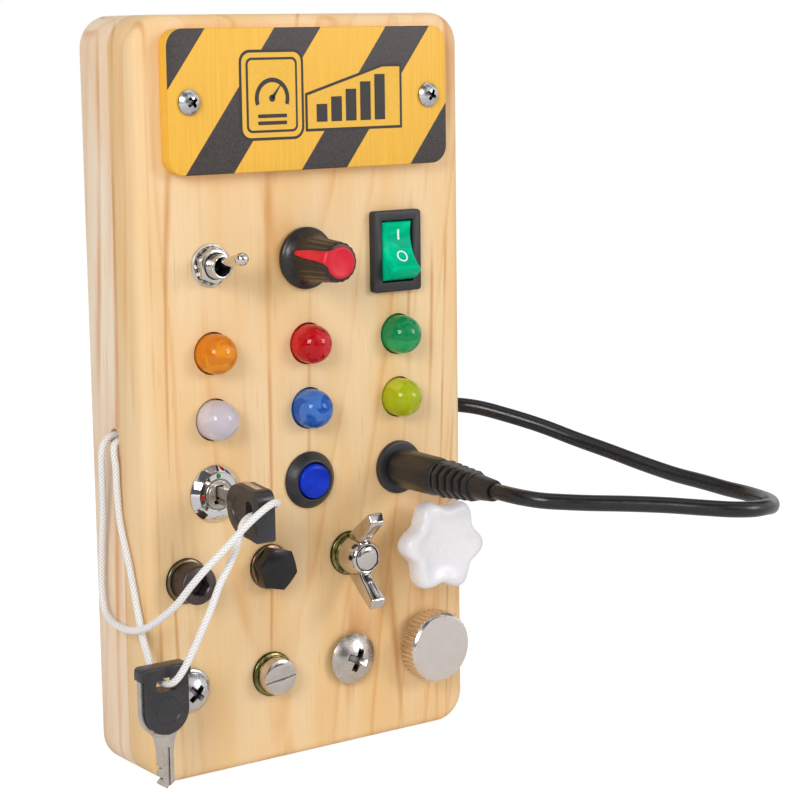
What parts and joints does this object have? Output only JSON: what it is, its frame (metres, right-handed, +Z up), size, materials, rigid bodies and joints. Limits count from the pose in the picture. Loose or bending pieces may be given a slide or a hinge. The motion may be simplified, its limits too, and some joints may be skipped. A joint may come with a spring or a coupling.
{
  "type": "wooden busy board",
  "caption": "Free-standing wooden busy board with working switches, lamps, key lock, plug and eight screws to turn.",
  "frame": {"origin": "centre of the wooden block's bottom face, on which it stands", "axes": "+Z up along the block's height, +X to the right seen from the front, -Y out of the front face with the switches"},
  "size_m": [0.1568, 0.1144, 0.19],
  "materials": {
    "pine": "planed pine, clear lacquer",
    "cover_wood": "planed pine, clear lacquer",
    "sign": "printed plywood, yellow painted edges",
    "zinc_steel": "bright zinc plated steel",
    "nickel": "nickel plated, polished",
    "lock_chrome": "chrome plated zinc",
    "key_steel": "stamped nickel plated steel",
    "black_oxide": "black oxide steel",
    "yellow_zinc": "yellow passivated zinc",
    "rainbow_zinc": "iridescent yellow passivated zinc",
    "brass_insert": "turned brass",
    "black_plastic": "moulded, satin",
    "key_plastic": "moulded, satin",
    "red_plastic": "moulded, satin",
    "rocker_green": "translucent green, moulded",
    "button_blue": "moulded, gloss",
    "lens_orange": "diffused lens",
    "lens_red": "diffused lens",
    "lens_green": "diffused lens",
    "lens_white": "diffused lens",
    "lens_blue": "diffused lens",
    "lens_yellow": "diffused lens",
    "star_white": "moulded, satin",
    "board_green": "glass-epoxy laminate",
    "cable_pvc": "soft PVC, satin",
    "lead_pvc": "soft PVC",
    "cord": "braided polyester",
    "cell": "printed steel can"
  },
  "bodies": {
    "root": {"front_panel": "pine", "back_panel": "pine", "sign_plate": "sign", "panel_screws": "zinc_steel", "sign_screws": "zinc_steel", "battery_contacts": "zinc_steel", "back_nuts": "zinc_steel", "toggle_body": "nickel", "toggle_nut": "nickel", "toggle_washer": "nickel", "pot_body": "nickel", "lock_barrel": "lock_chrome", "insert_nuts": "brass_insert", "rocker_housing": "black_plastic", "button_housing": "black_plastic", "jack_body": "black_plastic", "battery_box": "black_plastic", "lamp_orange": "lens_orange", "lamp_red": "lens_red", "lamp_green": "lens_green", "lamp_white": "lens_white", "lamp_blue": "lens_blue", "lamp_yellow": "lens_yellow", "circuit_board": "board_green", "cable": "cable_pvc", "battery_leads": "lead_pvc", "string": "cord", "batteries": "cell"},
    "toggle": {"toggle_lever": "nickel"},
    "knob": {"pot_shaft": "nickel", "knob_body": "black_plastic", "knob_cap": "red_plastic"},
    "rocker": {"rocker_button": "rocker_green"},
    "lock_key": {"lock_core": "lock_chrome", "key_blade": "key_steel", "key_head": "key_plastic"},
    "button": {"button_cap": "button_blue"},
    "plug": {"plug_tip": "nickel", "plug_body": "black_plastic"},
    "cover": {"battery_cover": "cover_wood", "cover_screw": "zinc_steel"},
    "spare_key": {"spare_key_head": "key_plastic", "spare_key_blade": "key_steel"},
    "socket_lift": {"socket_washer": "rainbow_zinc"},
    "socket": {"socket_screw": "black_oxide"},
    "hex_lift": {"hex_washer": "rainbow_zinc"},
    "hex": {"hex_bolt": "black_oxide"},
    "wing_lift": {"wing_washer": "yellow_zinc"},
    "wing": {"wing_screw": "nickel"},
    "star_lift": {"star_washer": "zinc_steel"},
    "star": {"star_knob": "star_white", "star_stud": "zinc_steel"},
    "phillips_lift": {"phillips_washer": "zinc_steel"},
    "phillips": {"phillips_screw": "zinc_steel"},
    "slotted_lift": {"slotted_washer": "yellow_zinc"},
    "slotted": {"slotted_screw": "nickel"},
    "truss_lift": {"truss_washer": "zinc_steel"},
    "truss": {"truss_screw": "nickel"},
    "thumb_lift": {"thumb_washer": "zinc_steel"},
    "thumb": {"thumb_screw": "nickel"}
  },
  "joints": [
    {"name": "toggle_flip", "type": "hinge", "parent": "root", "child": "toggle", "pos_m": [-0.0285, -0.0145, 0.1294], "axis": [1, 0, 0], "range_deg": [0, 22]},
    {"name": "knob_turn", "type": "hinge", "parent": "root", "child": "knob", "pos_m": [-0.0009, -0.0135, 0.1294], "axis": [0, -1, 0], "range_deg": [-221, 79]},
    {"name": "rocker_tip", "type": "hinge", "parent": "root", "child": "rocker", "pos_m": [0.0267, -0.0135, 0.1294], "axis": [1, 0, 0], "range_deg": [0, 40]},
    {"name": "key_turn", "type": "hinge", "parent": "root", "child": "lock_key", "pos_m": [-0.02855, -0.0135, 0.0724], "axis": [0, -1, 0], "range_deg": [0, 90], "deforming": ["string"]},
    {"name": "button_press", "type": "slide", "parent": "root", "child": "button", "axis": [0, 1, 0], "range_m": [0, 0.0025], "stiffness_N_per_m": 200},
    {"name": "plug_pull", "type": "slide", "parent": "root", "child": "plug", "axis": [0, -1, 0], "range_m": [0, 0.014], "deforming": ["cable"]},
    {"name": "cover_lift", "type": "slide", "parent": "root", "child": "cover", "axis": [0, 1, 0], "range_m": [0, 0.012]},
    {"name": "spare_key_swing", "type": "hinge", "parent": "root", "child": "spare_key", "pos_m": [-0.0524, -0.0265, 0.0312], "axis": [0, 1, 0], "range_deg": [-10, 25], "deforming": ["string"]},
    {"name": "socket_out", "type": "slide", "parent": "root", "child": "socket_lift", "axis": [0, -1, 0], "range_m": [0, 0.01]},
    {"name": "socket_turn", "type": "hinge", "parent": "socket_lift", "child": "socket", "pos_m": [-0.0378, -0.0135, 0.0516], "axis": [0, -1, 0], "range_deg": [0, 3600]},
    {"name": "hex_out", "type": "slide", "parent": "root", "child": "hex_lift", "axis": [0, -1, 0], "range_m": [0, 0.01]},
    {"name": "hex_turn", "type": "hinge", "parent": "hex_lift", "child": "hex", "pos_m": [-0.0134, -0.0135, 0.0516], "axis": [0, -1, 0], "range_deg": [0, 3600]},
    {"name": "wing_out", "type": "slide", "parent": "root", "child": "wing_lift", "axis": [0, -1, 0], "range_m": [0, 0.01]},
    {"name": "wing_turn", "type": "hinge", "parent": "wing_lift", "child": "wing", "pos_m": [0.011, -0.0135, 0.0516], "axis": [0, -1, 0], "range_deg": [0, 3600]},
    {"name": "star_out", "type": "slide", "parent": "root", "child": "star_lift", "axis": [0, -1, 0], "range_m": [0, 0.01]},
    {"name": "star_turn", "type": "hinge", "parent": "star_lift", "child": "star", "pos_m": [0.0354, -0.0135, 0.0516], "axis": [0, -1, 0], "range_deg": [0, 3600]},
    {"name": "phillips_out", "type": "slide", "parent": "root", "child": "phillips_lift", "axis": [0, -1, 0], "range_m": [0, 0.01]},
    {"name": "phillips_turn", "type": "hinge", "parent": "phillips_lift", "child": "phillips", "pos_m": [-0.0378, -0.0135, 0.0234], "axis": [0, -1, 0], "range_deg": [0, 3600]},
    {"name": "slotted_out", "type": "slide", "parent": "root", "child": "slotted_lift", "axis": [0, -1, 0], "range_m": [0, 0.01]},
    {"name": "slotted_turn", "type": "hinge", "parent": "slotted_lift", "child": "slotted", "pos_m": [-0.0134, -0.0135, 0.0234], "axis": [0, -1, 0], "range_deg": [0, 3600]},
    {"name": "truss_out", "type": "slide", "parent": "root", "child": "truss_lift", "axis": [0, -1, 0], "range_m": [0, 0.01]},
    {"name": "truss_turn", "type": "hinge", "parent": "truss_lift", "child": "truss", "pos_m": [0.011, -0.0135, 0.0234], "axis": [0, -1, 0], "range_deg": [0, 3600]},
    {"name": "thumb_out", "type": "slide", "parent": "root", "child": "thumb_lift", "axis": [0, -1, 0], "range_m": [0, 0.01]},
    {"name": "thumb_turn", "type": "hinge", "parent": "thumb_lift", "child": "thumb", "pos_m": [0.0354, -0.0135, 0.0234], "axis": [0, -1, 0], "range_deg": [0, 3600]}
  ],
  "couplings": [
    {"joint": "socket_turn", "follows": "socket_out", "rad_per_m": 6283.2},
    {"joint": "hex_turn", "follows": "hex_out", "rad_per_m": 6283.2},
    {"joint": "wing_turn", "follows": "wing_out", "rad_per_m": 6283.2},
    {"joint": "star_turn", "follows": "star_out", "rad_per_m": 6283.2},
    {"joint": "phillips_turn", "follows": "phillips_out", "rad_per_m": 6283.2},
    {"joint": "slotted_turn", "follows": "slotted_out", "rad_per_m": 6283.2},
    {"joint": "truss_turn", "follows": "truss_out", "rad_per_m": 6283.2},
    {"joint": "thumb_turn", "follows": "thumb_out", "rad_per_m": 6283.2}
  ]
}
